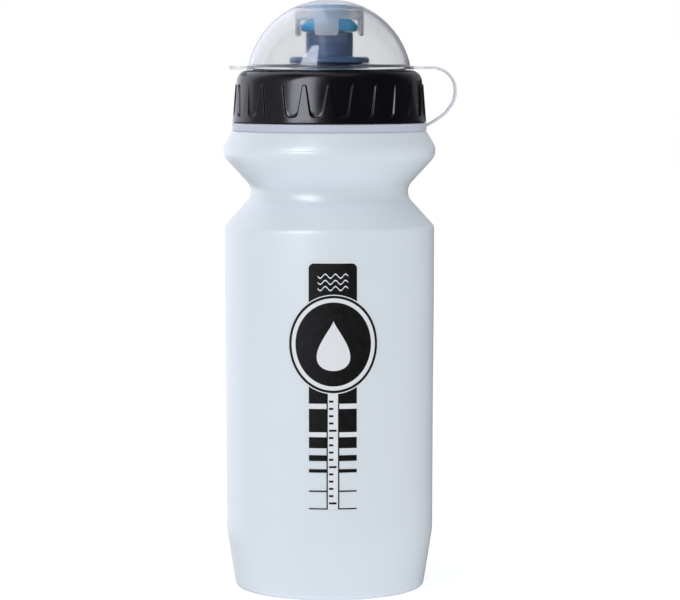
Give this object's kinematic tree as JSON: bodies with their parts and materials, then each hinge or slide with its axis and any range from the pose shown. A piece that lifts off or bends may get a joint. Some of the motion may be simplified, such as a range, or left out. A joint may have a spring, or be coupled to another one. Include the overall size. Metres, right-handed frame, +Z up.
{
  "type": "bicycle water bottle",
  "caption": "Squeeze bottle for a bicycle cage: waisted soft body, ribbed screw cap, push-pull drinking valve and a clear dust dome on a strap.",
  "frame": {"origin": "on the bottle's axis at the level that it stands on; the base's flat middle is recessed 1 mm above it", "axes": "+Z up along the bottle's axis; the dome's strap and hinge are on the +X side, the thumb tab on -X; the printed front faces -Y"},
  "size_m": [0.0817, 0.0742, 0.2065],
  "materials": {
    "frosted_body": "frosted translucent polyethylene, soft sheen, black print",
    "black_cap": "black moulded polypropylene, satin to gloss",
    "seal": "soft grey seal",
    "navy_valve": "navy moulded polypropylene, satin",
    "blue_tip": "soft light blue elastomer, matt",
    "clear_dome": "milky clear polypropylene, glossy"
  },
  "bodies": {
    "bottle": {"bottle_body": "frosted_body"},
    "gasket": {"cap_gasket": "seal"},
    "cap": {"screw_cap": "black_cap", "valve_base": "navy_valve", "valve_seal_ring": "seal"},
    "valve": {"valve_stem": "navy_valve", "bite_tip": "blue_tip"},
    "tether": {"neck_ring": "clear_dome", "tether_strap": "clear_dome"},
    "dome": {"dust_dome": "clear_dome"}
  },
  "joints": [
    {"name": "cap_rise", "type": "slide", "parent": "bottle", "child": "gasket", "axis": [0, 0, 1], "range_m": [0, 0.008]},
    {"name": "cap_turn", "type": "hinge", "parent": "gasket", "child": "cap", "pos_m": [0, 0, 0.17], "axis": [0, 0, 1], "range_deg": [0, 720]},
    {"name": "valve_slide", "type": "slide", "parent": "cap", "child": "valve", "axis": [0, 0, 1], "range_m": [-0.006, 0]},
    {"name": "tether_swivel", "type": "hinge", "parent": "cap", "child": "tether", "pos_m": [0, 0, 0.1625], "axis": [0, 0, 1], "continuous": true},
    {"name": "dome_flip", "type": "hinge", "parent": "tether", "child": "dome", "pos_m": [0.0335, 0, 0.1834], "axis": [0, 1, 0], "range_deg": [0, 135]}
  ],
  "couplings": [
    {"joint": "cap_rise", "follows": "cap_turn", "m_per_rad": 0.00063662}
  ]
}
